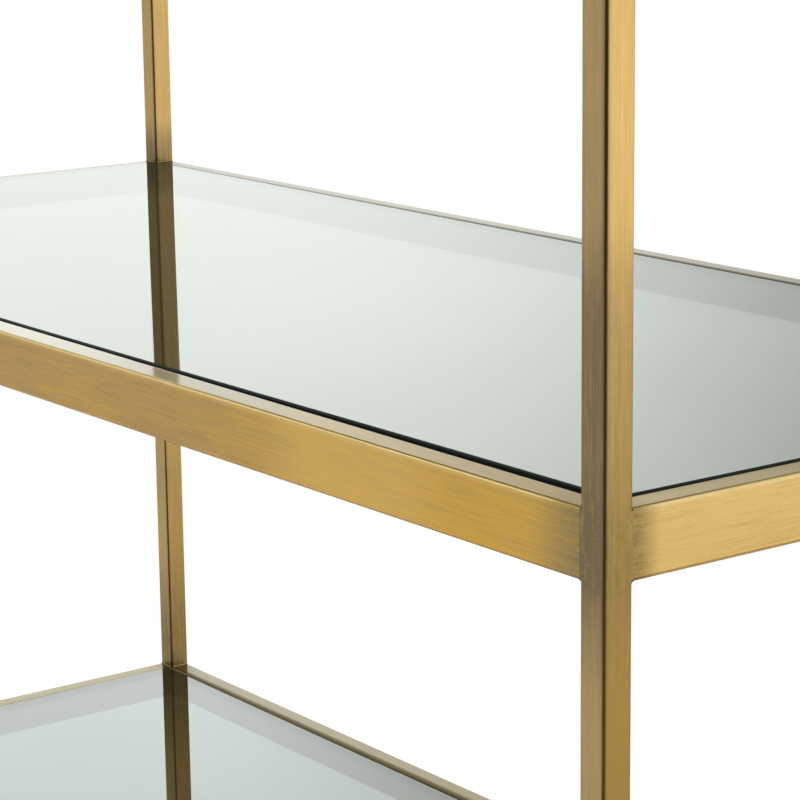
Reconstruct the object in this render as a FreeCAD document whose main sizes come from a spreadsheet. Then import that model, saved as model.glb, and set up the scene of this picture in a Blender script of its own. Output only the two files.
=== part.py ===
import FreeCAD, Part
import os
import re
import Sketcher

# An open display stand of square brass tube with smoked glass shelves dropped into its frames.
# Millimetres, +Z up. The origin is on the floor under the middle of the stand, X runs along
# the long side and the front is at -Y.

doc = FreeCAD.newDocument("Etagere")

# Driving sizes: one alias, its value and what it measures.
sizeTable = [
    ("overallWidth", 1000, "outside of the posts, along X"),
    ("overallDepth", 425, "outside of the posts, along Y"),
    ("levelCount", 5, "shelf frames, the top one level with the post caps"),
    ("lowestTop", 150, "floor to the top of the lowest frame"),
    ("levelPitch", 395, "top of one frame to the top of the next"),
    ("tubeSide", 15, "side of the square posts and width of the rails"),
    ("railHeight", 30, "height of the rails"),
    ("tubeWall", 1.5, "wall of every tube"),
    ("tubeCorner", 1.6, "outer corner radius of every tube"),
    ("capThickness", 1.5, "plate that closes the top of a post"),
    ("glassThickness", 10, "shelf pane"),
    ("glassProud", 1, "top of the pane above the top of its frame"),
    ("glassSideGap", 3.5, "pane to each long rail"),
    ("glassEndGap", 1.5, "pane to each short rail"),
    ("glassCorner", 3, "corner radius of the pane, in plan"),
    ("glassArris", 0.8, "ground edge of the pane"),
    ("plateLeg", 32, "corner plate, along each rail"),
    ("plateTip", 6, "width left at each end of a corner plate"),
    ("plateThickness", 2, "corner plate"),
    ("bumperDiameter", 9, "clear bumper on a corner plate"),
    ("bumperThickness", 1.2, "clear bumper on a corner plate"),
    ("bumperInset", 10.5, "middle of a bumper to the rails beside it"),
    ("insertFlange", 1.5, "rim of the threaded insert under the post"),
    ("insertLength", 18, "plug of the insert inside the post"),
    ("insertClearance", 0.05, "plug to the wall of the post, each side"),
    ("footDiameter", 13.5, "plastic foot pad"),
    ("footHeight", 6, "plastic foot pad, floor to its top"),
    ("footEdge", 1, "rounding of the pad where it meets the floor"),
    ("stemDiameter", 6, "threaded stem of the levelling foot"),
    ("stemReach", 24, "stem above the foot pad"),
    ("stemSocket", 4, "stem inside the foot pad"),
    ("stemPoint", 0.8, "chamfer at the top of the stem"),
    ("threadClearance", 0.1, "stem to the bore of the insert, on the radius"),
]

sheet = doc.addObject("Spreadsheet::Sheet", "Sizes")
for row, (alias, value, meaning) in enumerate(sizeTable, start=1):
    sheet.set(f"A{row}", meaning)
    sheet.set(f"B{row}", str(value))
    sheet.setAlias(f"B{row}", alias)
doc.recompute()

aliases = re.compile(r"\b(" + "|".join(alias for alias, _, _ in sizeTable) + r")\b")

# Half the size of an outline before its dimensions drive it.
rough = 5

# Lengths that several pieces share, written in the sheet's words.
openWidth = "(overallWidth - 2 * tubeSide)"
openDepth = "(overallDepth - 2 * tubeSide)"
postBottom = "(footHeight + insertFlange)"

levels = range(1, int(sheet.levelCount) + 1)
topOfStand = f"(lowestTop + {levels[-1] - 1} * levelPitch)"
corners = [
    ("front_left", -1, -1),
    ("front_right", 1, -1),
    ("back_left", -1, 1),
    ("back_right", 1, 1),
]


def bind(thing, prop, formula):
    """Ties a property to the sheet."""
    thing.setExpression(prop, aliases.sub(r"Sizes.\1", formula))


def newBody(label, x="0", y="0", z="0"):
    """A body whose place follows the sheet."""
    body = doc.addObject("PartDesign::Body", label)
    body.Label = label
    for axis, formula in zip("xyz", (x, y, z)):
        bind(body, f"Placement.Base.{axis}", formula)
    return body


def originPlane(body, role):
    return next(plane for plane in body.Origin.OriginFeatures if plane.Role == role)


def newSketch(body, role="XY_Plane", height=None):
    """A sketch on one of the body's own planes, raised along its normal if a height is given."""
    sketch = body.newObject("Sketcher::SketchObject", "Outline")
    sketch.AttachmentSupport = (originPlane(body, role), [""])
    sketch.MapMode = "FlatFace"
    if height:
        bind(sketch, "AttachmentOffset.Base.z", height)
    return sketch


def drive(sketch, kind, *where, formula):
    """A driving dimension that follows the sheet."""
    index = sketch.addConstraint(Sketcher.Constraint(kind, *where, float(rough)))
    bind(sketch, f"Constraints[{index}]", formula)


def joinLoop(sketch, points):
    """A closed loop of lines through the points. Returns the index of its first line."""
    first = sketch.GeometryCount
    ends = points[1:] + points[:1]
    for start, end in zip(points, ends):
        sketch.addGeometry(Part.LineSegment(FreeCAD.Vector(*start, 0), FreeCAD.Vector(*end, 0)))
    count = len(points)
    for index in range(count):
        following = first + (index + 1) % count
        sketch.addConstraint(Sketcher.Constraint("Coincident", first + index, 2, following, 1))
    return first


def rectangle(sketch, width, height):
    """A rectangle around the sketch's origin."""
    first = joinLoop(sketch, [(-rough, -rough), (rough, -rough), (rough, rough), (-rough, rough)])
    for index, kind in enumerate(["Horizontal", "Vertical", "Horizontal", "Vertical"]):
        sketch.addConstraint(Sketcher.Constraint(kind, first + index))
    sketch.addConstraint(Sketcher.Constraint("Symmetric", first, 1, first + 2, 1, -1, 1))
    drive(sketch, "DistanceX", first, 1, first, 2, formula=width)
    drive(sketch, "DistanceY", first + 1, 1, first + 1, 2, formula=height)


def circle(sketch, diameter, x=None, y=None):
    """A circle at the sketch's origin, or at x and y from it."""
    start = FreeCAD.Vector(rough, rough, 0) if x else FreeCAD.Vector(0, 0, 0)
    index = sketch.addGeometry(Part.Circle(start, FreeCAD.Vector(0, 0, 1), rough))
    if x:
        drive(sketch, "DistanceX", -1, 1, index, 3, formula=x)
        drive(sketch, "DistanceY", -1, 1, index, 3, formula=y)
    else:
        sketch.addConstraint(Sketcher.Constraint("Coincident", index, 3, -1, 1))
    drive(sketch, "Diameter", index, formula=diameter)


def pad(body, sketch, length, midplane=False):
    feature = body.newObject("PartDesign::Pad", "Pad")
    feature.Profile = sketch
    feature.Midplane = midplane
    bind(feature, "Length", length)
    doc.recompute()
    return feature


def dress(body, base, kind, prop, size, edges):
    """A fillet or a chamfer on the named edges of the base feature."""
    feature = body.newObject(f"PartDesign::{kind}", kind)
    feature.Base = (base, edges)
    bind(feature, prop, size)
    doc.recompute()
    return feature


def outerEdges(shape, axis):
    """The edges along the axis that stand furthest from it: the outer corners of a bar or tube."""
    found = {}
    for number, edge in enumerate(shape.Edges, start=1):
        start, end = edge.Vertexes[0].Point, edge.Vertexes[-1].Point
        run = end - start
        if run.Length > 1e-6 and run.cross(axis).Length < 1e-6 * run.Length:
            found[f"Edge{number}"] = start.cross(axis).Length
    furthest = max(found.values())
    return [name for name, distance in found.items() if distance > furthest - 1e-4]


def levelEdges(shape, height):
    """The edges that lie flat at one height of the shape."""
    return [
        f"Edge{number}"
        for number, edge in enumerate(shape.Edges, start=1)
        if all(abs(vertex.Point.z - height) < 1e-4 for vertex in edge.Vertexes)
    ]


def tube(body, role, axis, width, height, length, midplane=False):
    """A hollow tube: its outline on the named plane, its outer corners rounded."""
    sketch = newSketch(body, role)
    rectangle(sketch, width, height)
    rectangle(sketch, f"{width} - 2 * tubeWall", f"{height} - 2 * tubeWall")
    bar = pad(body, sketch, length, midplane)
    dress(body, bar, "Fillet", "Radius", "tubeCorner", outerEdges(bar.Shape, axis))
    return body


def mirrorToCorners(body, feature):
    """Repeats one corner's feature in the other three corners of the frame."""
    body.AllowCompound = True
    pattern = body.newObject("PartDesign::MultiTransform", "Corners")
    pattern.Originals = [feature]
    mirrors = []
    for role in ("XZ_Plane", "YZ_Plane"):
        mirror = body.newObject("PartDesign::Mirrored", "Mirror")
        mirror.MirrorPlane = (originPlane(body, role), [""])
        mirrors.append(mirror)
    pattern.Transformations = mirrors
    body.Tip = pattern
    doc.recompute()


alongX = FreeCAD.Vector(1, 0, 0)
alongY = FreeCAD.Vector(0, 1, 0)
alongZ = FreeCAD.Vector(0, 0, 1)


def makePost(name, x, y):
    body = newBody(f"post_{name}", x, y, postBottom)
    length = f"{topOfStand} - capThickness - {postBottom}"
    return tube(body, "XY_Plane", alongZ, "tubeSide", "tubeSide", length)


def makeCap(name, x, y):
    """The square plate welded on the end of a post."""
    body = newBody(f"post_cap_{name}", x, y, f"{topOfStand} - capThickness")
    sketch = newSketch(body)
    rectangle(sketch, "tubeSide", "tubeSide")
    plate = pad(body, sketch, "capThickness")
    dress(body, plate, "Fillet", "Radius", "tubeCorner", outerEdges(plate.Shape, alongZ))
    return body


def makeInsert(name, x, y):
    """The square threaded insert: a rim under the post and a plug inside it."""
    body = newBody(f"foot_insert_{name}", x, y, "footHeight")
    bore = "stemDiameter + 2 * threadClearance"
    plug = "tubeSide - 2 * tubeWall - 2 * insertClearance"
    rim = newSketch(body)
    rectangle(rim, "tubeSide", "tubeSide")
    circle(rim, bore)
    flange = pad(body, rim, "insertFlange")
    dress(body, flange, "Fillet", "Radius", "tubeCorner", outerEdges(flange.Shape, alongZ))
    shank = newSketch(body, height="insertFlange")
    rectangle(shank, plug, plug)
    circle(shank, bore)
    pad(body, shank, "insertLength")
    return body


def makeFootPad(name, x, y):
    """The plastic pad on the floor, with a blind socket for its stem."""
    body = newBody(f"foot_pad_{name}", x, y)
    disc = newSketch(body)
    circle(disc, "footDiameter")
    slab = pad(body, disc, "footHeight")
    rounded = dress(body, slab, "Fillet", "Radius", "footEdge", levelEdges(slab.Shape, 0))
    mouth = newSketch(body, height="footHeight")
    circle(mouth, "stemDiameter")
    socket = body.newObject("PartDesign::Pocket", "Socket")
    socket.Profile = mouth
    bind(socket, "Length", "stemSocket")
    doc.recompute()
    if socket.Shape.Volume >= rounded.Shape.Volume:
        raise RuntimeError(f"the socket of {body.Label} cuts nothing")
    return body


def makeStem(name, x, y):
    """The threaded steel stem, seated on the floor of the pad's socket."""
    body = newBody(f"foot_stem_{name}", x, y, "footHeight - stemSocket")
    section = newSketch(body)
    circle(section, "stemDiameter")
    rod = pad(body, section, "stemSocket + stemReach")
    top = levelEdges(rod.Shape, rod.Shape.BoundBox.ZMax)
    dress(body, rod, "Chamfer", "Size", "stemPoint", top)
    return body


def makeLongRail(name, side, top):
    y = f"{side} * (overallDepth - tubeSide) / 2"
    body = newBody(name, y=y, z=f"{top} - railHeight / 2")
    return tube(body, "YZ_Plane", alongX, "tubeSide", "railHeight", openWidth, midplane=True)


def makeShortRail(name, side, top):
    x = f"{side} * (overallWidth - tubeSide) / 2"
    body = newBody(name, x=x, z=f"{top} - railHeight / 2")
    return tube(body, "XZ_Plane", alongY, "tubeSide", "railHeight", openDepth, midplane=True)


def makePane(name, top):
    """The glass: rounded in plan, its edges ground top and bottom."""
    body = newBody(name, z=f"{top} + glassProud - glassThickness")
    outline = newSketch(body)
    rectangle(outline, f"{openWidth} - 2 * glassEndGap", f"{openDepth} - 2 * glassSideGap")
    sheetOfGlass = pad(body, outline, "glassThickness")
    edges = outerEdges(sheetOfGlass.Shape, alongZ)
    rounded = dress(body, sheetOfGlass, "Fillet", "Radius", "glassCorner", edges)
    ends = rounded.Shape.BoundBox
    rims = levelEdges(rounded.Shape, ends.ZMin) + levelEdges(rounded.Shape, ends.ZMax)
    dress(body, rounded, "Chamfer", "Size", "glassArris", rims)
    return body


def makePlates(name, top):
    """Four blunt-ended triangles welded into the corners of a frame, under the pane."""
    seat = f"{top} + glassProud - glassThickness - bumperThickness"
    body = newBody(name, z=f"{seat} - plateThickness")
    outline = newSketch(body)
    start = [(4, 4), (1, 4), (1, 3), (3, 1), (4, 1)]
    first = joinLoop(outline, [(rough * x, rough * y) for x, y in start])
    cornerX, cornerY = f"{openWidth} / 2", f"{openDepth} / 2"
    places = [
        (cornerX, cornerY),
        (f"{cornerX} - plateLeg", cornerY),
        (f"{cornerX} - plateLeg", f"{cornerY} - plateTip"),
        (f"{cornerX} - plateTip", f"{cornerY} - plateLeg"),
        (cornerX, f"{cornerY} - plateLeg"),
    ]
    for index, (x, y) in enumerate(places):
        drive(outline, "DistanceX", -1, 1, first + index, 1, formula=x)
        drive(outline, "DistanceY", -1, 1, first + index, 1, formula=y)
    mirrorToCorners(body, pad(body, outline, "plateThickness"))
    return body


def makeBumpers(name, top):
    """Four clear discs between the plates and the pane."""
    body = newBody(name, z=f"{top} + glassProud - glassThickness - bumperThickness")
    outline = newSketch(body)
    x, y = f"{openWidth} / 2 - bumperInset", f"{openDepth} / 2 - bumperInset"
    circle(outline, "bumperDiameter", x, y)
    mirrorToCorners(body, pad(body, outline, "bumperThickness"))
    return body


# Each sub-part and the number of solids that it holds.
subParts = []
for corner, sideX, sideY in corners:
    x = f"{sideX} * (overallWidth - tubeSide) / 2"
    y = f"{sideY} * (overallDepth - tubeSide) / 2"
    for make in (makePost, makeCap, makeInsert, makeFootPad, makeStem):
        subParts.append((make(corner, x, y), 1))

for level in levels:
    top = f"(lowestTop + {level - 1} * levelPitch)"
    subParts.append((makeLongRail(f"front_rail_{level}", -1, top), 1))
    subParts.append((makeLongRail(f"back_rail_{level}", 1, top), 1))
    subParts.append((makeShortRail(f"left_rail_{level}", -1, top), 1))
    subParts.append((makeShortRail(f"right_rail_{level}", 1, top), 1))
    subParts.append((makePane(f"glass_shelf_{level}", top), 1))
    subParts.append((makePlates(f"corner_plates_{level}", top), len(corners)))
    subParts.append((makeBumpers(f"glass_bumpers_{level}", top), len(corners)))

doc.recompute()
for thing in doc.Objects:
    if "Invalid" in thing.State or "Error" in thing.State:
        raise RuntimeError(f"{thing.Label} did not build: {thing.State}")
for body, solidCount in subParts:
    shape = body.Shape
    if shape.isNull() or not shape.isValid():
        raise RuntimeError(f"{body.Label} has no valid shape")
    if len(shape.Solids) != solidCount:
        raise RuntimeError(f"{body.Label} holds {len(shape.Solids)} solids, not {solidCount}")

os.makedirs("parts", exist_ok=True)
for body, _ in subParts:
    body.Shape.exportStep(f"parts/{body.Label}.step")
print(f"wrote {len(subParts)} sub-parts")
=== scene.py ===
import math

import bmesh
import bpy
from mathutils import Matrix, Vector


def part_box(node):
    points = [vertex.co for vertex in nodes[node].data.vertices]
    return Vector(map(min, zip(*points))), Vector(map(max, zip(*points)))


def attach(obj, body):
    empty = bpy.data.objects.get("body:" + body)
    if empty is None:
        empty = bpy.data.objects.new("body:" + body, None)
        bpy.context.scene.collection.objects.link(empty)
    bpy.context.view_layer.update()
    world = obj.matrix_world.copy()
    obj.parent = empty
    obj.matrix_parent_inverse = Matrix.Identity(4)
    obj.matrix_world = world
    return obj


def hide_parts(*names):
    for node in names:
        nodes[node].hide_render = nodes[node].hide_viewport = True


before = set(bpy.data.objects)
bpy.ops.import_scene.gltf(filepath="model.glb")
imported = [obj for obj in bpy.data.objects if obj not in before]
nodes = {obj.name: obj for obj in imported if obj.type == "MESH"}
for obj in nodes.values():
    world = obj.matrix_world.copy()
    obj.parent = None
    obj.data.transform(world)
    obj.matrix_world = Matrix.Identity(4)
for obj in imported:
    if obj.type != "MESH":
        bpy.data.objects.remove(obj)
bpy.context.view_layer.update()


class Wire:
    # An output in a node tree. Sums of wires and numbers add their own Math nodes.
    def __init__(self, tree, socket=None):
        self.tree = tree
        self.socket = socket

    def node(self, kind, settings=None, sockets=None, out=0):
        # A new node: its settings first, then the values or links of its sockets.
        made = self.tree.nodes.new(kind)
        for name, value in (settings or {}).items():
            setattr(made, name, value)
        for key, value in (sockets or {}).items():
            if isinstance(value, Wire):
                self.tree.links.new(value.socket, made.inputs[key])
            else:
                made.inputs[key].default_value = value
        return Wire(self.tree, made.outputs[out] if len(made.outputs) else None)

    def maths(self, operation, *others, clamp=False):
        settings = {"operation": operation, "use_clamp": clamp}
        return self.node("ShaderNodeMath", settings, dict(enumerate((self,) + others)))

    def vector(self, operation, *others, out="Vector"):
        sockets = dict(enumerate((self,) + others))
        return self.node("ShaderNodeVectorMath", {"operation": operation}, sockets, out)

    def __add__(self, other):
        return self.maths("ADD", other)

    def __radd__(self, other):
        return self.maths("ADD", other)

    def __sub__(self, other):
        return self.maths("SUBTRACT", other)

    def __rsub__(self, other):
        return self.node("ShaderNodeMath", {"operation": "SUBTRACT"}, {0: other, 1: self})

    def __mul__(self, other):
        return self.maths("MULTIPLY", other)

    def __rmul__(self, other):
        return self.maths("MULTIPLY", other)

    def __truediv__(self, other):
        return self.maths("DIVIDE", other)

    def __abs__(self):
        return self.maths("ABSOLUTE")

    def clamped(self):
        return self.maths("ADD", 0.0, clamp=True)

    def between(self, first, second):
        # Goes from the first value to the second as the wire goes from 0 to 1.
        return first + self * (second - first)

    def ramp(self, low, high, start=0.0, end=1.0):
        # An eased change from start to end as the wire goes from low to high.
        settings = {"interpolation_type": "SMOOTHSTEP"}
        values = {"Value": self, "From Min": low, "From Max": high, "To Min": start, "To Max": end}
        return self.node("ShaderNodeMapRange", settings, values)

    def fade(self, low, high):
        # 1 below low and 0 above high.
        return self.ramp(low, high, 1.0, 0.0)

    def blend(self, first, second):
        # Goes from the first colour to the second: sockets 6 and 7 of a Mix node, and its output 2.
        return self.node("ShaderNodeMix", {"data_type": "RGBA"}, {0: self, 6: first, 7: second}, 2)

    def noise(self, scale, detail=2.0, rough=0.5):
        values = {"Vector": self, "Scale": scale, "Detail": detail, "Roughness": rough}
        return self.node("ShaderNodeTexNoise", None, values)

    def stretched(self, scales):
        return self.node("ShaderNodeMapping", {"vector_type": "POINT"}, {"Vector": self, "Scale": scales})

    def bump(self, strength, distance):
        values = {"Strength": strength, "Distance": distance, "Height": self}
        return self.node("ShaderNodeBump", None, values)

    def parts(self):
        split = self.node("ShaderNodeSeparateXYZ", None, {0: self})
        return [Wire(self.tree, split.socket.node.outputs[axis]) for axis in "XYZ"]


def newMaterial(name):
    # A material with its Principled shader, and the Object coordinates.
    material = bpy.data.materials.new(name)
    material.use_nodes = True
    tree = material.node_tree
    return material, tree.nodes["Principled BSDF"], Wire(tree).node("ShaderNodeTexCoord", out="Object")


def feed(shader, values):
    # Numbers go on the shader's own sockets and wires are linked to them.
    for name, value in values.items():
        if isinstance(value, Wire):
            value.tree.links.new(value.socket, shader.inputs[name])
        else:
            shader.inputs[name].default_value = value


def shaded(colour, share):
    # The colour made darker or lighter.
    return tuple(part * share for part in colour[:3]) + (1,)


def namesFrom(stem):
    return sorted(name for name in nodes if name.startswith(stem))


paneNames = namesFrom("glass_shelf_")
frontRails = namesFrom("front_rail_")
postLow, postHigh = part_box("post_front_right")
railLow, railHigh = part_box(frontRails[0])
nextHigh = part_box(frontRails[1])[1]

stand = {
    "halfWidth": postHigh.x,
    "halfDepth": -postLow.y,
    "tube": postHigh.x - postLow.x,
    "railHeight": railHigh.z - railLow.z,
    "lowestTop": railHigh.z,
    "pitch": nextHigh.z - railHigh.z,
    "levels": len(paneNames),
    "corner": 0.0016,                 # outer radius of the tubes
}
print("frame read:", len(nodes), "nodes,", stand["levels"], "levels")


viewFrom = {
    "eye": (1.29624, -0.90301, 1.22018),
    "heading": 53.354,                # degrees from +Y towards -X
    "dip": 12.539,
    "roll": -0.676,
    "lens": 126.17,
    "sensor": 36,
    "farthest": 100,
}


def makeCamera(look):
    data = bpy.data.cameras.new("view")
    data.sensor_width = look["sensor"]
    data.lens = look["lens"]
    data.clip_end = look["farthest"]
    camera = bpy.data.objects.new("view", data)
    turn = Matrix.Rotation(math.radians(look["heading"]), 4, "Z")
    tilt = Matrix.Rotation(math.radians(90 - look["dip"]), 4, "X")
    roll = Matrix.Rotation(math.radians(look["roll"]), 4, "Z")
    camera.matrix_world = Matrix.Translation(look["eye"]) @ turn @ tilt @ roll
    bpy.context.scene.collection.objects.link(camera)
    bpy.context.scene.camera = camera


makeCamera(viewFrom)
bpy.context.scene.view_settings.view_transform = "Standard"
print("camera set")


# The brushed brass of the frame. In these dictionaries a pair noted as ends goes from the stand's left end
# to its right end. A pair of places or heights, in metres, is where a change begins and where it is full.
brass = {
    "seed": (7.3, 2.1, 4.4),
    # cycles a metre across the grain and along it, then the detail and the roughness of the noise
    "patterns": {
        "broad": (420, 9, 3.0, 0.55),
        "hair": (1500, 34, 4.0, 0.65),
        "scratch": (5200, 110, 2.0, 0.6),
        "cloud": (14, 14, 3.0, 0.5),
        "mottle": (330, 120, 3.0, 0.6),
        "speck": (1100, 1100, 3.0, 0.7),
    },
    "streak": 0.5,                    # the broad streaks' part in the streaks, beside the hairs'
    "relief": {"hair": 0.55, "scratch": 0.45},
    "bump": 0.5,
    "bumpDepth": 0.00016,
    "weldDirt": 0.16,
    "weldUneven": {"speck": 1.2, "mottle": 1.0},
    "streakRough": 0.08,
    "jointRough": 0.06,
    "coatRough": 0.06,
    "edge": (0.40, 0.47, 0.58, 1),    # how much is left of the mirror at a grazing look
}

# The clean colours of the posts, the long rails and the short rails differ partly as painted light: each
# stands in for how its brushing direction spreads the mirrored light.
postBrass = {
    "grain": "Z",
    "clean": (0.76, 0.49, 0.13, 1),
    "brown": (0.50, 0.33, 0.10, 1),
    "oxide": (0.40, 0.30, 0.125, 1),
    "dusk": (0.25, 0.182, 0.068, 1),
    # on a post, the painted dark line of shade along its arrises
    "grime": (0.10, 0.075, 0.032, 1),
    "rough": 0.26,
    "hair": 1.2,
}

longRailBrass = {
    "grain": "X",
    "clean": (0.86, 0.51, 0.07, 1),
    "brown": (0.50, 0.335, 0.12, 1),
    "worn": (1.0, 0.71, 0.25, 1),
    "oxide": (0.45, 0.33, 0.125, 1),
    "dusk": (0.25, 0.182, 0.068, 1),
    "rough": 0.38,
    "hair": 1.8,
    "halfAlong": stand["halfWidth"],
    "halfAcross": stand["halfDepth"],
    "reach": 0.032,                   # how far the patina runs from a joint
    "lowSeam": 0.0,                   # how much less of the painted shade beside the pane the low rails have
    "lowCoat": 0.10,                  # and of the lacquer on top of a far rail
}

shortRailBrass = {
    "grain": "Y",
    "clean": (1.0, 0.675, 0.215, 1),
    "brown": (0.62, 0.40, 0.12, 1),
    "worn": (1.0, 0.75, 0.32, 1),
    "oxide": (0.40, 0.285, 0.085, 1),
    "dusk": (0.25, 0.182, 0.068, 1),
    "rough": 0.32,
    "hair": 1.8,
    "halfAlong": stand["halfDepth"],
    "halfAcross": stand["halfWidth"],
    "reach": 0.016,
    "lowSeam": 0.75,
    "lowCoat": 0.28,
}


def brassTexture(place, look):
    # The patterns of the brushed metal, each spread about zero.
    seeded = place.vector("ADD", brass["seed"])
    texture = {}
    for name, (across, along, detail, rough) in brass["patterns"].items():
        scales = [along if axis == look["grain"] else across for axis in "XYZ"]
        texture[name] = seeded.stretched(scales).noise(1.0, detail, rough) - 0.5
    texture["streak"] = texture["broad"] * brass["streak"] + texture["hair"] * look["hair"]
    return texture


def uneven(texture, shares):
    return sum(texture[name] * share for name, share in shares.items())


def fromJoint(z):
    # The height above the middle of the nearest rail.
    half = stand["pitch"] / 2
    above = z - (stand["lowestTop"] - stand["railHeight"] / 2 - half)
    return above.maths("MODULO", stand["pitch"]) - half


postJoint = {
    "leftReach": (0.100, 0.034),      # how far the patina runs up a left post, low down and high up
    "leftHeights": (0.75, 1.0),       # and between which heights that changes
    "rightReach": 0.125,
    "full": (0.15, 0.60),             # ends: the part of that reach where it stays full
    "below": 0.078,                   # how far it runs down
    "shortSide": (0.80, 0.43),        # ends: its strength on the sides that look along X
    "weld": (-0.004, 0.010),          # dirt beside the weld, from the rail's edge
}


def postPatina(x, z, longSide):
    # The patina, which fades along the post from a joint, the dirt beside the weld, and how far right
    # this is, from 0 to 1.
    offset, rest = fromJoint(z), stand["railHeight"] / 2
    rightward = x / (2 * stand["halfWidth"]) + 0.5
    leftReach = z.ramp(*postJoint["leftHeights"], *postJoint["leftReach"])
    reach = rightward.between(leftReach, postJoint["rightReach"])
    above = ((offset - rest) / reach).fade(rightward.between(*postJoint["full"]), 1.0)
    below = ((offset + rest) / postJoint["below"] + 1.0).clamped()
    joint = above.maths("MINIMUM", below * below)
    strength = longSide.maths("MAXIMUM", rightward.ramp(0.0, 1.0, *postJoint["shortSide"]))
    weld = (abs(offset) - rest).fade(*postJoint["weld"])
    return joint * strength, weld * strength, rightward


postArrisShade = {
    "haze": (0.52, 0.95),             # from a side's middle, in half tubes: the painted shade towards an arris
    "line": (0.76, 0.86),             # and the painted dark line of shade on it
    "weldEnd": 0.001,
    "turned": 0.35,                   # strength on the arrises between an outer and an inner side
}


def arrisShadeOf(x, y, z):
    # 1 at a post's upright arrises, as a haze and as a line of painted shade. A weld hides all but the
    # outermost one.
    half, rest = stand["tube"] / 2, stand["railHeight"] / 2
    acrossX = abs(x) - (stand["halfWidth"] - half)
    acrossY = abs(y) - (stand["halfDepth"] - half)
    nearer = abs(acrossX).maths("MINIMUM", abs(acrossY))
    alike = (acrossX * acrossY).maths("GREATER_THAN", 0.0)
    outer = (acrossX + acrossY).maths("GREATER_THAN", 0.0) * alike
    filled = (abs(fromJoint(z)) - rest).fade(-postArrisShade["weldEnd"], postArrisShade["weldEnd"]) * (1.0 - outer)
    shows = alike.between(postArrisShade["turned"], 1.0) * (1.0 - filled)
    haze, line = ([share * half for share in postArrisShade[name]] for name in ("haze", "line"))
    return nearer.ramp(*haze) * shows, nearer.ramp(*line) * shows


postWear = {
    "longSide": (0.4, 0.8),           # how squarely a side looks along Y, from no long side to a full one
    "brown": (0.42, 0.12),            # ends, on the long sides
    "shortSideBrownAndShade": (0.82, 0.27),       # ends, on the short sides, where the brown is partly painted shade that darkens the sides looking along X
    "brownUneven": {"cloud": 0.5, "streak": 1.0},
    "oxide": (0.30, 0.55),            # ends, on the long sides
    "oxideUneven": {"cloud": 0.5, "streak": 0.5},
    "jointDusk": 0.85,
    "duskUneven": {"streak": 1.0, "mottle": 0.6},
    "arrisDusk": (0.40, 0.90),        # painted shade towards an arris, on the short sides and on the long ones
    # the strength of the painted shade towards the arrises, by height and from left to right
    "arrisShadeHeights": (0.86, 1.02),
    "arrisShadeUp": (0.4, 1.15),         # below and above those heights
    "arrisShadeLevel": (0.65, 1.0),           # ends
    "arrisShadeJoint": 0.4,              # what is left of it at a joint
    # the painted dark line of shade along a post's arrises
    "grime": 0.40,
    "lineShadeJoint": 0.5,                # what is left of it at a joint
    "lacquer": (0.08, 0.20),          # ends
}


def postLayers(place, facing, texture, look):
    # The layers on a post in the order in which they are laid, and its patina, weld dirt and lacquer.
    wear = postWear
    x, y, z = place.parts()
    longSide = abs(facing[1]).ramp(*wear["longSide"])
    joint, weld, rightward = postPatina(x, z, longSide)
    haze, line = arrisShadeOf(x, y, z)
    brown = longSide.between(rightward.between(*wear["shortSideBrownAndShade"]), rightward.between(*wear["brown"]))
    oxide = rightward.between(*wear["oxide"]) + uneven(texture, wear["oxideUneven"])
    arrisShadeLevel = z.ramp(*wear["arrisShadeHeights"], *wear["arrisShadeUp"]) * rightward.between(*wear["arrisShadeLevel"])
    arrisShadeLevel = arrisShadeLevel * joint.between(1.0, wear["arrisShadeJoint"])
    dusk = joint * (wear["jointDusk"] + uneven(texture, wear["duskUneven"]))
    # On a post the dusk is patina at a joint and painted shade towards the arrises, and the grime-and-shade
    # layer is a painted dark line of shade along them.
    layers = {
        "brown": brown + uneven(texture, wear["brownUneven"]),
        "oxide": longSide * oxide,
        "dusk": dusk + haze * longSide.between(*wear["arrisDusk"]) * arrisShadeLevel,
        "grime": line * rightward * wear["grime"] * joint.between(1.0, wear["lineShadeJoint"]),
    }
    return layers, joint, weld, rightward.between(*wear["lacquer"])


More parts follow.
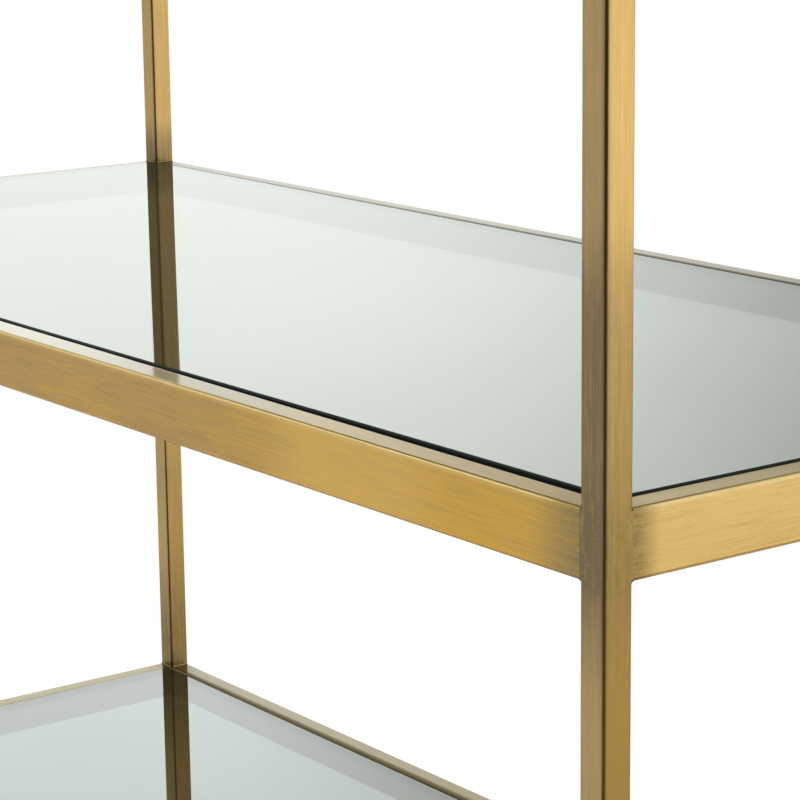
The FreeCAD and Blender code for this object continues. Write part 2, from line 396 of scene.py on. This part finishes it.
railWear = {
    "patina": 0.001,                  # from a joint to where its patina starts to fade
    "weld": (-0.002, 0.007),          # dirt beside the weld, from the post
    "top": (0.5, 0.95),               # how squarely a face looks up, from no top to a full one
    "low": (0.60, 0.90),              # heights between which a frame goes from low to high
    "far": (-0.05, 0.05),             # across the stand, from the near rails to the far ones
    "slant": 1.05,                    # how much Y counts beside X, in telling left from right
    "leftward": (0.30, -0.25),        # places along that slant
    "brown": (0.65, 0.08),            # left and right of the next two places along X
    "brownPlaces": (0.19, 0.33),
    "brownUneven": {"cloud": 0.8, "streak": 0.8, "speck": 0.4},
    "grime": 0.69,
    "grimeUneven": {"mottle": 0.5, "speck": 1.1, "streak": 0.4},
    "topGrime": 0.3,                  # what is left of it on a top
    "nearOxide": (0.58, 0.73),        # on a high and on a low near top
    "farOxide": 0.15,
    "lowFarOxide": 0.45,              # more, on a low far top towards the left
    "inner": (-0.09, -0.02),          # painted shade on the faces that look inwards: how squarely a face looks outwards, times its distance from the middle
    "seam": (0.0030, 0.0052),         # painted shade beside the pane, from a far rail's inner side
    "paneShadeOxide": 0.6,
    "paneShadeDusk": 0.4,
    "jointDusk": 0.2,
    "farDusk": 0.5,                   # on a far top towards the left
    "nearDusk": 0.24,                 # on a near top towards the right
    "arris": (0.05, 0.35),            # how far up the upper arris looks where its wear and painted highlight begin
    "arrisEnd": (0.80, 0.97),         # and where they end
    "upper": (0.0034, 0.0012),        # below the top: the painted highlight along a side's upper edge
    "upperHighlight": 0.35,
    "pale": (0.25, 0.30),             # places along X where a paler length of a near side begins
    "paleEnd": (0.36, 0.41),          # and where it ends
    "paleWorn": 0.2,
    "sideCoat": 0.20,                 # lacquer
    "nearCoat": 0.30,
    "leftCoat": (0.60, 0.14),         # more, on a high and on a low near top towards the left
    "farCoat": (0.50, 0.80),          # ends, on a far top
    "keptCoat": 0.16,                 # the part of that from which a low frame loses nothing
    "paneShadeCoat": 0.15,                 # what is left of the lacquer beside the pane
}


def railLayers(place, facing, texture, look):
    # The layers on a rail in the order in which they are laid, and its patina, weld dirt and lacquer.
    wear = railWear
    x, y, z = place.parts()
    if look["grain"] == "X":
        along, across, acrossFacing = x, y, facing[1]
    else:
        along, across, acrossFacing = y, -1.0 * x, -1.0 * facing[0]
    away = look["halfAlong"] - stand["tube"] - abs(along)
    joint, weld = away.fade(wear["patina"], look["reach"]), away.fade(*wear["weld"])
    rightward = x.ramp(-stand["halfWidth"], stand["halfWidth"])
    leftward = (x + y * wear["slant"]).ramp(*wear["leftward"])
    low, top, far = z.fade(*wear["low"]), facing[2].ramp(*wear["top"]), across.ramp(*wear["far"])
    farTop, nearTop, side = top * far, top * (1.0 - far), 1.0 - top
    # Painted shade beside the pane, along a far rail's top: darker colour and less lacquer.
    seam = (across - look["halfAcross"] + stand["tube"]).fade(*wear["seam"])
    seam = seam * far * low.between(1.0, 1.0 - look["lowSeam"])
    # On a rail the grime-and-shade share is grime at a joint.
    grime = joint * (wear["grime"] + uneven(texture, wear["grimeUneven"]))
    grime = grime * top.between(1.0, wear["topGrime"])
    nearOxide = nearTop * leftward * low.between(*wear["nearOxide"])
    farOxide = farTop * (wear["farOxide"] + low * (1.0 - rightward) * wear["lowFarOxide"])
    # Painted shade: the faces that look into the frame, and the strip beside the pane, are darkened; the dusk
    # at a joint is patina.
    inner = (across * acrossFacing).fade(*wear["inner"])
    dusk = inner + joint * side * wear["jointDusk"] + seam * wear["paneShadeDusk"]
    dusk = dusk + farTop * (1.0 - rightward) * wear["farDusk"] + nearTop * (1.0 - leftward) * wear["nearDusk"]
    # The wear on the upper arris is partly painted highlight, and the band below the top is painted
    # highlight.
    arris = facing[2].ramp(*wear["arris"]) * facing[2].fade(*wear["arrisEnd"]) * (1.0 - joint)
    upper = fromJoint(z).ramp(*(stand["railHeight"] / 2 - below for below in wear["upper"]))
    pale = x.ramp(*wear["pale"]) * x.fade(*wear["paleEnd"]) * (1.0 - far)
    nearCoat = wear["nearCoat"] + leftward * low.between(*wear["leftCoat"])
    farCoat = rightward.between(*wear["farCoat"]) - wear["keptCoat"]
    farCoat = wear["keptCoat"] + farCoat * low.between(1.0, 1.0 - look["lowCoat"])
    layers = {
        "brown": x.ramp(*wear["brownPlaces"], *wear["brown"]) + uneven(texture, wear["brownUneven"]),
        "worn": arris + side * (upper * wear["upperHighlight"] + pale * wear["paleWorn"]),
        "oxide": grime + nearOxide + seam * wear["paneShadeOxide"] + farOxide,
        "dusk": dusk,
    }
    lacquer = top.between(wear["sideCoat"], far.between(nearCoat, farCoat))
    return layers, joint, weld, lacquer * seam.between(1.0, wear["paneShadeCoat"])


def brushedBrass(name, look, layersOf):
    material, shader, place = newMaterial(name)
    texture = brassTexture(place, look)
    facing = place.node("ShaderNodeNewGeometry", out="Normal").parts()
    layers, joint, weld, lacquer = layersOf(place, facing, texture, look)
    layers["dusk"] = layers["dusk"] + weld * (brass["weldDirt"] + uneven(texture, brass["weldUneven"]))
    colour = look["clean"]
    for layer, share in layers.items():
        colour = share.clamped().blend(colour, look[layer])
    rough = look["rough"] + texture["streak"] * brass["streakRough"] + joint * brass["jointRough"]
    feed(shader, {
        "Base Color": colour,
        "Metallic": 1.0,
        "Roughness": rough,
        "Specular Tint": brass["edge"],
        "Coat Weight": lacquer,
        "Coat Roughness": brass["coatRough"],
        "Normal": uneven(texture, brass["relief"]).bump(brass["bump"], brass["bumpDepth"]),
    })
    return material


brassUp = brushedBrass("brassUp", postBrass, postLayers)
brassLong = brushedBrass("brassLong", longRailBrass, railLayers)
brassShort = brushedBrass("brassShort", shortRailBrass, railLayers)
print("brass made")


zincLook = {
    "colour": (0.62, 0.62, 0.60, 1),
    "shade": 0.8,
    "grain": 700.0,
    "detail": 3.0,
    "shadeFrom": (0.3, 0.7),
    "metallic": 1.0,
    "rough": 0.30,
    "roughUneven": 0.15,
    "alpha": 1.0,
    "bump": 0.2,
    "bumpDepth": 0.0001,
}

padLook = {
    "colour": (0.022, 0.022, 0.023, 1),
    "shade": 0.7,
    "grain": 1400.0,
    "detail": 2.0,
    "shadeFrom": (0.35, 0.65),
    "metallic": 0.0,
    "rough": 0.45,
    "roughUneven": 0.12,
    "alpha": 1.0,
    "bump": 0.3,
    "bumpDepth": 0.00008,
}

bumperLook = dict(padLook, colour=(0.72, 0.73, 0.70, 1), rough=0.30, alpha=0.55)


def plainFinish(name, look):
    material, shader, place = newMaterial(name)
    grain = place.noise(look["grain"], look["detail"])
    shade = shaded(look["colour"], look["shade"])
    feed(shader, {
        "Base Color": grain.ramp(*look["shadeFrom"]).blend(look["colour"], shade),
        "Metallic": look["metallic"],
        "Roughness": look["rough"] + (grain - 0.5) * look["roughUneven"],
        "Alpha": look["alpha"],
        "Normal": grain.bump(look["bump"], look["bumpDepth"]),
    })
    return material


glass = {
    "tint": (0.11, 0.13, 0.118, 1),
    "film": (0.10, 0.12, 0.108, 1),
    "filmScale": 7.0,
    "filmDetail": 3.0,
    "filmFrom": (0.35, 0.75),
    "blurFrom": (0.45, 0.80),
    "blur": 0.012,                    # roughness where the film is thickest
    "bending": 1.5,
}

glassEdge = {
    "colour": (0.012, 0.016, 0.014, 1),
    "light": 1.5,
    "grain": (900, 900, 4000),
    "detail": 3.0,
    "lightFrom": (0.4, 0.8),
    "rough": 0.34,
    "roughUneven": 0.2,
    "shine": 0.1,
}


def smokedGlass(look):
    material, shader, place = newMaterial("smokedGlass")
    film = place.noise(look["filmScale"], look["filmDetail"])
    feed(shader, {
        "Base Color": film.ramp(*look["filmFrom"]).blend(look["tint"], look["film"]),
        "Transmission Weight": 1.0,
        "IOR": look["bending"],
        "Roughness": film.ramp(*look["blurFrom"], 0.0, look["blur"]),
    })
    return material


def groundEdge(look):
    material, shader, place = newMaterial("groundEdge")
    grind = place.stretched(look["grain"]).noise(1.0, look["detail"])
    light = shaded(look["colour"], look["light"])
    feed(shader, {
        "Base Color": grind.ramp(*look["lightFrom"]).blend(look["colour"], light),
        "Roughness": look["rough"] + (grind - 0.5) * look["roughUneven"],
        "Specular IOR Level": look["shine"],
    })
    return material


zinc = plainFinish("zinc", zincLook)
blackPlastic = plainFinish("blackPlastic", padLook)
clearRubber = plainFinish("clearRubber", bumperLook)
smoked = smokedGlass(glass)
ground = groundEdge(glassEdge)
print("finishes made")

finishes = {
    "post_": brassUp,
    "front_rail_": brassLong,
    "back_rail_": brassLong,
    "left_rail_": brassShort,
    "right_rail_": brassShort,
    "corner_plates_": brassLong,
    "foot_insert_": zinc,
    "foot_stem_": zinc,
    "foot_pad_": blackPlastic,
    "glass_bumpers_": clearRubber,
}


def finishNodes():
    for stem, material in finishes.items():
        for name in namesFrom(stem):
            slots = nodes[name].data.materials
            slots.clear()
            slots.append(material)


finishNodes()


pane = {
    "cornerRadius": 0.003,
    "cornerSteps": 5,
    "arris": 0.0008,
    "sag": 0.0013,                    # drop of the front edge's middle under the pane's own weight
    "stiffer": 0.85,                  # how much less the back edge drops
    "dip": 0.0003,                    # drop of the right end
    "lift": 0.0007,                   # rise of the far left corner
    # how far each pane lies off the middle of its frame, from the lowest up
    "settled": [(-0.0006, 0.0008), (0.0004, -0.0006), (0.0012, 0.0), (-0.0009, 0.0005), (0.0003, -0.0009)],
    "cutsAlong": 28,
    "cutsAcross": 10,
    "cutMerge": 1e-6,
    "flat": 0.95,                     # a face that looks up or down more squarely than this is polished
    "sharpAngle": 20,
}


def paneOutline(low, high):
    radius, steps = pane["cornerRadius"], pane["cornerSteps"]
    middles = [
        (high.x - radius, high.y - radius, 0),
        (low.x + radius, high.y - radius, 90),
        (low.x + radius, low.y + radius, 180),
        (high.x - radius, low.y + radius, 270),
    ]
    points = []
    for x, y, begin in middles:
        for step in range(steps + 1):
            angle = math.radians(begin + 90 * step / steps)
            points.append((x + radius * math.cos(angle), y + radius * math.sin(angle)))
    return points


def sagAt(x, y, low, high):
    # The long front edge hangs between its ends, and the far left corner sits a little high.
    along = min(max((x - low.x) / (high.x - low.x), 0.0), 1.0)
    across = min(max((y - low.y) / (high.y - low.y), 0.0), 1.0)
    hang = 16 * (along * (1 - along)) ** 2    # 0 at the ends and 1 halfway
    lift = pane["lift"] * (1 - along) ** 2 * across
    return pane["sag"] * hang * (1 - pane["stiffer"] * across) + pane["dip"] * along ** 3 - lift


def paneShell(mesh, low, high):
    # The flat pane: a closed shell with an arris along its upper and lower edge.
    rings = [
        (low.z, pane["arris"]),
        (low.z + pane["arris"], 0.0),
        (high.z - pane["arris"], 0.0),
        (high.z, pane["arris"]),
    ]
    outline = paneOutline(low, high)
    centre = (low + high) / 2
    loops = []
    for z, inset in rings:
        shrinkX = 1 - inset / (high.x - centre.x)
        shrinkY = 1 - inset / (high.y - centre.y)
        loops.append([
            mesh.verts.new((centre.x + (x - centre.x) * shrinkX, centre.y + (y - centre.y) * shrinkY, z))
            for x, y in outline
        ])
    count = len(outline)
    mesh.faces.new(list(reversed(loops[0])))
    mesh.faces.new(loops[-1])
    for lower, upper in zip(loops, loops[1:]):
        for index in range(count):
            after = (index + 1) % count
            mesh.faces.new((lower[index], lower[after], upper[after], upper[index]))


def cutPane(mesh, low, high):
    # Cuts the flat pane into strips both ways, so that it can bend.
    for axis, cuts, begin, end in [
        ((1, 0, 0), pane["cutsAlong"], low.x, high.x),
        ((0, 1, 0), pane["cutsAcross"], low.y, high.y),
    ]:
        for cut in range(1, cuts):
            where = Vector(axis) * (begin + (end - begin) * cut / cuts)
            geometry = mesh.verts[:] + mesh.edges[:] + mesh.faces[:]
            merge = pane["cutMerge"]
            bmesh.ops.bisect_plane(mesh, geom=geometry, plane_co=where, plane_no=axis, dist=merge)


def makePane(name, shift):
    low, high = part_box(name)
    low, high = low + Vector(shift + (0,)), high + Vector(shift + (0,))
    mesh = bmesh.new()
    paneShell(mesh, low, high)
    cutPane(mesh, low, high)
    for vert in mesh.verts:
        vert.co.z -= sagAt(vert.co.x, vert.co.y, low, high)
    for face in mesh.faces:
        face.smooth = True
        face.material_index = 0 if abs(face.normal.z) > pane["flat"] else 1
    data = bpy.data.meshes.new(name + "_pane")
    mesh.to_mesh(data)
    mesh.free()
    data.materials.append(smoked)
    data.materials.append(ground)
    data.set_sharp_from_angle(angle=math.radians(pane["sharpAngle"]))
    piece = bpy.data.objects.new(name.replace("glass_shelf", "smoked_pane"), data)
    bpy.context.scene.collection.objects.link(piece)
    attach(piece, "stand")
    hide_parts(name)


for name, shift in zip(paneNames, pane["settled"]):
    makePane(name, shift)
print("panes made:", len(paneNames))


weld = {
    "reach": 0.0015,                  # size of the fillet under a rail
    "crown": 0.0011,                  # size of the fillet on top of a rail
    "filletWidth": 0.6,               # how far a fillet stops from the post's sides, in corner radii
    "notch": 0.0009,                  # what the filler leaves open at a rail's rounded edges
    "sink": 0.00005,
    "steps": 6,
    "sharpAngle": 35,
}


def prism(mesh, outline, sweep):
    # Sweeps an outline of 3-D points along a vector.
    first = [mesh.verts.new(point) for point in outline]
    last = [mesh.verts.new(Vector(point) + sweep) for point in outline]
    mesh.faces.new(first)
    mesh.faces.new(list(reversed(last)))
    count = len(outline)
    for index in range(count):
        after = (index + 1) % count
        mesh.faces.new((first[after], first[index], last[index], last[after]))


def arcPoints(centre, radius, begin, end):
    steps = weld["steps"]
    angles = [math.radians(begin + (end - begin) * step / steps) for step in range(steps + 1)]
    return [(centre[0] + radius * math.cos(angle), centre[1] + radius * math.sin(angle)) for angle in angles]


def endMesh(mesh, name):
    bmesh.ops.recalc_face_normals(mesh, faces=mesh.faces)
    for face in mesh.faces:
        face.smooth = True
    data = bpy.data.meshes.new(name)
    mesh.to_mesh(data)
    mesh.free()
    data.set_sharp_from_angle(angle=math.radians(weld["sharpAngle"]))
    return bpy.data.objects.new(name, data)


def addFillets(mesh, size, level, rise):
    # The fillets of the two rails that meet the front right post, above or below them.
    half, sink = stand["tube"] / 2, weld["sink"]
    inner = half - stand["corner"] * weld["filletWidth"]
    arc = arcPoints((size, size), size, 270, 180)
    profile = [(-sink, -sink), (size, -sink)] + arc + [(-sink, size)]
    left = [(-half - out, -inner, level + rise * up) for out, up in profile]
    prism(mesh, left, Vector((0, 2 * inner, 0)))
    back = [(-inner, half + out, level + rise * up) for out, up in profile]
    prism(mesh, back, Vector((2 * inner, 0, 0)))


def makeSeam():
    # The three filled corners of the front right post at one joint, and the fillets under its two rails.
    mesh = bmesh.new()
    half, radius = stand["tube"] / 2, stand["corner"]
    base = weld["notch"] - stand["railHeight"]
    sweep = Vector((0, 0, stand["railHeight"] - 2 * weld["notch"]))
    inner, outer = half - radius, radius - weld["sink"]
    for signX, signY, begin in [(-1, -1, 180), (1, 1, 0), (-1, 1, 90)]:
        arc = arcPoints((signX * inner, signY * inner), outer, begin + 90, begin)
        outline = [(signX * half, signY * half)] + arc
        prism(mesh, [(x, y, base) for x, y in outline], sweep)
    addFillets(mesh, weld["reach"], -stand["railHeight"], -1)
    return endMesh(mesh, "seam")


def makeCrown():
    mesh = bmesh.new()
    addFillets(mesh, weld["crown"], 0, 1)
    return endMesh(mesh, "crown")


def weldPoints():
    # One point per joint, on the post's axis at the top of the frame. The highest frame has no crown.
    mesh = bpy.data.meshes.new("weldPoints")
    alongX = stand["halfWidth"] - stand["tube"] / 2
    alongY = stand["halfDepth"] - stand["tube"] / 2
    corners = [(alongX, -alongY, 0), (alongX, alongY, 1), (-alongX, alongY, 2), (-alongX, -alongY, 3)]
    places, turns, crowned = [], [], []
    for level in range(stand["levels"]):
        for x, y, quarter in corners:
            places.append((x, y, stand["lowestTop"] + level * stand["pitch"]))
            turns.append(math.radians(90 * quarter))
            crowned.append(level < stand["levels"] - 1)
    mesh.from_pydata(places, [], [])
    mesh.attributes.new("turn", "FLOAT", "POINT").data.foreach_set("value", turns)
    mesh.attributes.new("crowned", "BOOLEAN", "POINT").data.foreach_set("value", crowned)
    return bpy.data.objects.new("welds", mesh)


def weldTree():
    # Puts a seam on every joint, and a crown on those that are crowned.
    tree = bpy.data.node_groups.new("weldTree", "GeometryNodeTree")
    face = tree.interface
    face.new_socket("Joints", in_out="INPUT", socket_type="NodeSocketGeometry")
    face.new_socket("Seam", in_out="INPUT", socket_type="NodeSocketObject")
    face.new_socket("Crown", in_out="INPUT", socket_type="NodeSocketObject")
    face.new_socket("Finish", in_out="INPUT", socket_type="NodeSocketMaterial")
    face.new_socket("Welds", in_out="OUTPUT", socket_type="NodeSocketGeometry")
    start = Wire(tree)
    given = start.node("NodeGroupInput").socket.node.outputs
    joints = Wire(tree, given["Joints"])
    turn = start.node("GeometryNodeInputNamedAttribute", {"data_type": "FLOAT"}, {"Name": "turn"})
    crowned = start.node("GeometryNodeInputNamedAttribute", {"data_type": "BOOLEAN"}, {"Name": "crowned"})
    spin = start.node("ShaderNodeCombineXYZ", None, {"Z": turn})
    rows = []
    for kind, chosen in [("Seam", {}), ("Crown", {"Selection": crowned})]:
        source = Wire(tree, given[kind])
        piece = start.node("GeometryNodeObjectInfo", None, {"Object": source}, "Geometry")
        sockets = {"Points": joints, "Instance": piece, "Rotation": spin} | chosen
        rows.append(start.node("GeometryNodeInstanceOnPoints", None, sockets))
    joined = start.node("GeometryNodeJoinGeometry")
    for row in reversed(rows):
        tree.links.new(row.socket, joined.socket.node.inputs[0])
    real = start.node("GeometryNodeRealizeInstances", None, {"Geometry": joined})
    finish = Wire(tree, given["Finish"])
    painted = start.node("GeometryNodeSetMaterial", None, {"Geometry": real, "Material": finish})
    start.node("NodeGroupOutput", None, {"Welds": painted})
    return tree


def grow(carrier, tree, values):
    # Runs a geometry tree on a carrier and returns its result as one plain object.
    bpy.context.scene.collection.objects.link(carrier)
    modifier = carrier.modifiers.new("grow", "NODES")
    modifier.node_group = tree
    for item in tree.interface.items_tree:
        if item.name in values:
            modifier[item.identifier] = values[item.name]
    graph = bpy.context.evaluated_depsgraph_get()
    data = bpy.data.meshes.new_from_object(carrier.evaluated_get(graph), depsgraph=graph)
    carrier.modifiers.remove(modifier)
    carrier.data = data
    return carrier


seam, crown = makeSeam(), makeCrown()
welds = grow(weldPoints(), weldTree(), {"Seam": seam, "Crown": crown, "Finish": brassUp})
for source in (seam, crown):
    bpy.data.objects.remove(source)
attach(welds, "stand")
print("welds made:", len(welds.data.polygons), "faces")


# What the metal and the glass mirror: columns of the room, each laid over those before it. A column has a
# heading (X, Y) and the degrees either side of it at which it is still full and at which it is gone. Its
# lowest colour may be None, which keeps what is there. A change begins and ends at a rise of the direction,
# from -1 straight down to 1 straight up, and has the colour that it turns to.
studio = {
    "dim": (0.06, 0.06, 0.062, 1),
    "soft": (0.85, 0.85, 0.85, 1),    # even light that the matt surfaces receive
    "seen": (1, 1, 1, 1),
    "columns": [
        {
            "heading": (-0.80, -0.60),
            "degrees": (62, 95),
            "lowest": (0.75, 0.75, 0.75, 1),
            "changes": [
                (-0.72, -0.62, (0.25, 0.24, 0.22, 1)),
                (-0.55, -0.42, (0.69, 0.70, 0.90, 1)),
                (-0.02, 0.08, (0.23, 0.26, 0.40, 1)),
                (0.28, 0.42, (1.50, 1.55, 1.70, 1)),
                (0.44, 0.52, (0.10, 0.10, 0.10, 1)),
            ],
        },
        {
            "heading": (-0.80, -0.60),
            "degrees": (26, 38),
            "lowest": None,
            "changes": [
                (0.36, 0.44, (1.50, 1.50, 1.50, 1)),
                (0.64, 0.72, (0.10, 0.10, 0.10, 1)),
            ],
        },
        {
            "heading": (0.80, 0.60),
            "degrees": (50, 75),
            "lowest": (0.75, 0.75, 0.75, 1),
            "changes": [
                (-0.72, -0.62, (0.30, 0.29, 0.28, 1)),
                (-0.55, -0.42, (0.43, 0.41, 0.36, 1)),
                (-0.30, -0.12, (1.43, 1.43, 1.70, 1)),
                (-0.04, 0.05, (0.40, 0.47, 0.78, 1)),
                (0.30, 0.44, (1.40, 1.35, 1.25, 1)),
                (0.80, 0.92, (0.10, 0.10, 0.10, 1)),
            ],
        },
        {
            "heading": (-0.819, 0.574),
            "degrees": (45, 62),
            "lowest": (1.60, 1.60, 1.60, 1),
            "changes": [
                (-0.06, 0.0, (0.52, 0.55, 0.51, 1)),
                (0.38, 0.47, (0.06, 0.06, 0.062, 1)),
            ],
        },
        {
            "heading": (-0.966, 0.259),
            "degrees": (18, 36),
            "lowest": (1.60, 1.60, 1.60, 1),
            "changes": [
                (-0.06, 0.0, (1.74, 1.81, 1.74, 1)),
                (0.15, 0.20, (1.86, 1.94, 1.86, 1)),
                (0.38, 0.47, (0.06, 0.06, 0.062, 1)),
            ],
        },
        {
            "heading": (-0.966, 0.259),
            "degrees": (16, 25),
            "lowest": None,
            "changes": [
                (0.24, 0.33, (2.68, 2.84, 2.80, 1)),
                (0.42, 0.52, (0.06, 0.06, 0.062, 1)),
            ],
        },
        {
            "heading": (0.65, -0.76),
            "degrees": (37, 55),
            "lowest": (0.22, 0.175, 0.09, 1),
            "changes": [
                (-0.26, -0.15, (0.070, 0.058, 0.034, 1)),
                (0.02, 0.12, (0.34, 0.36, 0.34, 1)),
                (0.30, 0.45, (0.60, 0.62, 0.60, 1)),
            ],
        },
        {
            "heading": (0.17, 0.98),
            "degrees": (22, 40),
            "lowest": None,
            "changes": [
                (-0.04, 0.05, (0.60, 0.63, 0.60, 1)),
            ],
        },
        {
            "heading": (1.0, 0.0),
            "degrees": (178, 180),            # the ceiling all round
            "lowest": None,
            "changes": [
                (0.80, 0.90, (0.80, 0.80, 0.80, 1)),
            ],
        },
    ],
}


def columnShare(flat, column):
    # 1 inside a column and 0 outside it, for a level direction.
    heading = Vector(column["heading"] + (0,)).normalized()
    full, gone = (math.cos(math.radians(angle)) for angle in column["degrees"])
    return flat.vector("DOT_PRODUCT", heading[:], out="Value").ramp(gone, full)


def roomTone(toward):
    # The studio's colour in a direction.
    unit = toward.vector("NORMALIZE")
    rise = unit.parts()[2]
    flat = unit.vector("MULTIPLY", (1, 1, 0)).vector("NORMALIZE")
    room = unit.node("ShaderNodeRGB")
    room.socket.default_value = studio["dim"]
    for column in studio["columns"]:
        tone = column["lowest"] or room
        for begins, ends, colour in column["changes"]:
            tone = rise.ramp(begins, ends).blend(tone, colour)
        room = columnShare(flat, column).blend(room, tone)
    return room


floorLook = {
    "radius": 1.25,
    "sides": 96,
    "colour": (0.86, 0.86, 0.86, 1),
    "mottled": (0.84, 0.84, 0.84, 1),
    "mottle": 3.0,
    "mottledFrom": (0.3, 0.7),
    "white": (1, 1, 1, 1),
    "fade": (0.45, 1.10),             # the floor turns from lit to pure white between these distances
    "least": 0.45,                    # the part of white that the middle already has
    "eye": 0.95,                      # height from which the mirrored floor is reckoned
}


def emptyTree(owner):
    owner.use_nodes = True
    owner.node_tree.nodes.clear()
    return Wire(owner.node_tree)


def paleFloor(look):
    # Lit and shadowed near the stand, white far off, and the room's tone where metal or glass mirrors it.
    material = bpy.data.materials.new("paleFloor")
    start = emptyTree(material)
    place = start.node("ShaderNodeTexCoord", out="Object")
    rays = start.node("ShaderNodeLightPath").socket.node.outputs
    camera, glossy, through = (
        Wire(start.tree, rays[name]) for name in ("Is Camera Ray", "Is Glossy Ray", "Is Transmission Ray")
    )
    mirrored = glossy + through
    below = place.vector("SUBTRACT", (0, 0, look["eye"]))
    tone = mirrored.clamped().blend(look["white"], roomTone(below))
    far = place.vector("LENGTH", out="Value").ramp(*look["fade"], look["least"], 1.0)
    pale = place.noise(look["mottle"]).ramp(*look["mottledFrom"]).blend(look["colour"], look["mottled"])
    lit = start.node("ShaderNodeBsdfDiffuse", None, {"Color": pale})
    glow = start.node("ShaderNodeEmission", None, {"Color": tone, "Strength": 1.0})
    share = (camera * far + mirrored).clamped()
    both = start.node("ShaderNodeMixShader", None, {0: share, 1: lit, 2: glow})
    start.node("ShaderNodeOutputMaterial", None, {"Surface": both})
    return material


def makeFloor():
    mesh = bmesh.new()
    sides, radius = floorLook["sides"], floorLook["radius"]
    bmesh.ops.create_circle(mesh, cap_ends=True, segments=sides, radius=radius)
    data = bpy.data.meshes.new("floor")
    mesh.to_mesh(data)
    mesh.free()
    data.materials.append(paleFloor(floorLook))
    floor = bpy.data.objects.new("floor", data)
    bpy.context.scene.collection.objects.link(floor)


def makeStudio():
    # The camera sees white, matt surfaces get even light, and metal and glass mirror the room.
    world = bpy.data.worlds.new("studio")
    bpy.context.scene.world = world
    start = emptyTree(world)
    room = roomTone(start.node("ShaderNodeTexCoord", out="Generated"))
    rays = start.node("ShaderNodeLightPath").socket.node.outputs
    camera, diffuse = (Wire(start.tree, rays[name]) for name in ("Is Camera Ray", "Is Diffuse Ray"))
    seen = camera.blend(diffuse.blend(room, studio["soft"]), studio["seen"])
    light = start.node("ShaderNodeBackground", None, {"Color": seen, "Strength": 1.0})
    start.node("ShaderNodeOutputWorld", None, {"Surface": light})


lamps = {
    "keyLamp": {"where": (-1.6, -1.6, 3.4), "size": 1.6, "watts": 26},
    "fillLamp": {"where": (2.2, 1.4, 3.2), "size": 1.8, "watts": 20},
}
lampsAim = (0, 0, 0.8)


def makeLamps():
    for name, look in lamps.items():
        data = bpy.data.lights.new(name, "AREA")
        data.shape = "DISK"
        data.size = look["size"]
        data.energy = look["watts"]
        lamp = bpy.data.objects.new(name, data)
        lamp.location = look["where"]
        aim = Vector(lampsAim) - Vector(look["where"])
        lamp.rotation_euler = aim.to_track_quat("-Z", "Y").to_euler()
        lamp.visible_glossy = False
        bpy.context.scene.collection.objects.link(lamp)


makeFloor()
makeStudio()
makeLamps()
print("stage set")

bpy.context.view_layer.update()
